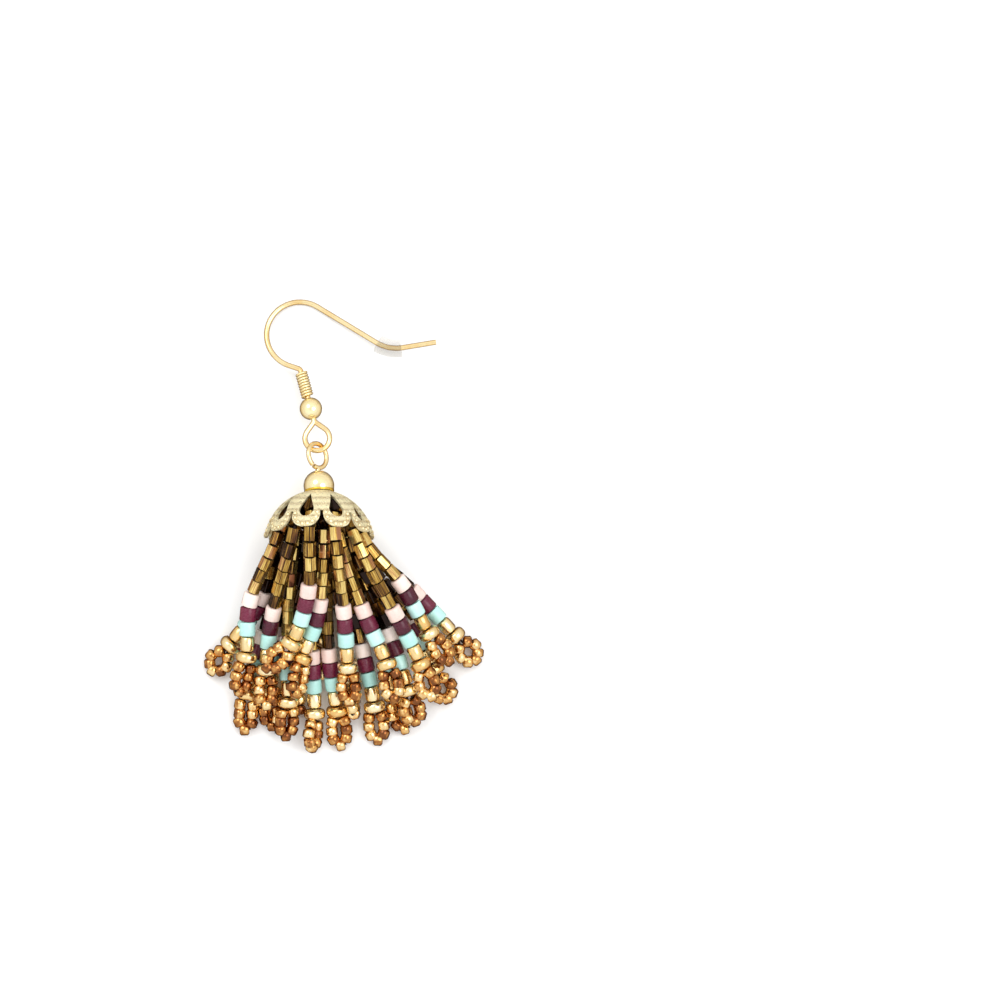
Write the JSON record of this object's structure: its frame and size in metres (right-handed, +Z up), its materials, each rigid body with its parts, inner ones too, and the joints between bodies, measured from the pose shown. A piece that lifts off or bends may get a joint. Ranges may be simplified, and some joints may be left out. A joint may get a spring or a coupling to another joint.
{
  "type": "beaded tassel earring",
  "caption": "Drop earring with a gold ear wire, coil and ball, a pierced petal bead cap and a fringe of bronze bead strands that end in coloured tubes, gold beads and small loops, lying flat.",
  "frame": {"origin": "on the surface that the earring lies on, under the middle of its outline", "axes": "+Y runs up its length from the fringe to the ear wire, +X across it to the side where the wire's tail points, +Z up from the surface"},
  "size_m": [0.0376, 0.0609, 0.0141],
  "materials": {
    "gold_wire": "polished",
    "cap_gold": "textured, satin",
    "clear_silicone": "frosted",
    "thread": "matt",
    "bead_bronze": "metallic, glossy",
    "bead_blush": "satin",
    "bead_plum": "glossy",
    "bead_mint": "satin",
    "bead_gold": "metallic, glossy"
  },
  "bodies": {
    "root": {"ear_wire": "gold_wire", "wire_coil": "gold_wire", "wire_ball": "gold_wire", "wire_stopper": "clear_silicone", "eye_pin": "gold_wire", "cap_ball": "gold_wire", "bead_cap": "cap_gold", "thread_knot": "thread", "strand_01": "bead_bronze", "strand_02": "bead_bronze", "strand_03": "bead_bronze", "strand_04": "bead_bronze", "strand_05": "bead_bronze", "strand_06": "bead_bronze", "strand_07": "bead_bronze", "strand_08": "bead_bronze", "strand_09": "bead_bronze", "strand_10": "bead_bronze", "strand_11": "bead_bronze", "strand_12": "bead_bronze", "strand_13": "bead_bronze", "strand_14": "bead_bronze", "strand_15": "bead_bronze", "strand_16": "bead_bronze", "strand_17": "bead_bronze", "strand_18": "bead_bronze", "strand_19": "bead_bronze", "strand_20": "bead_bronze", "strand_21": "bead_bronze", "strand_22": "bead_bronze"}
  },
  "joints": []
}
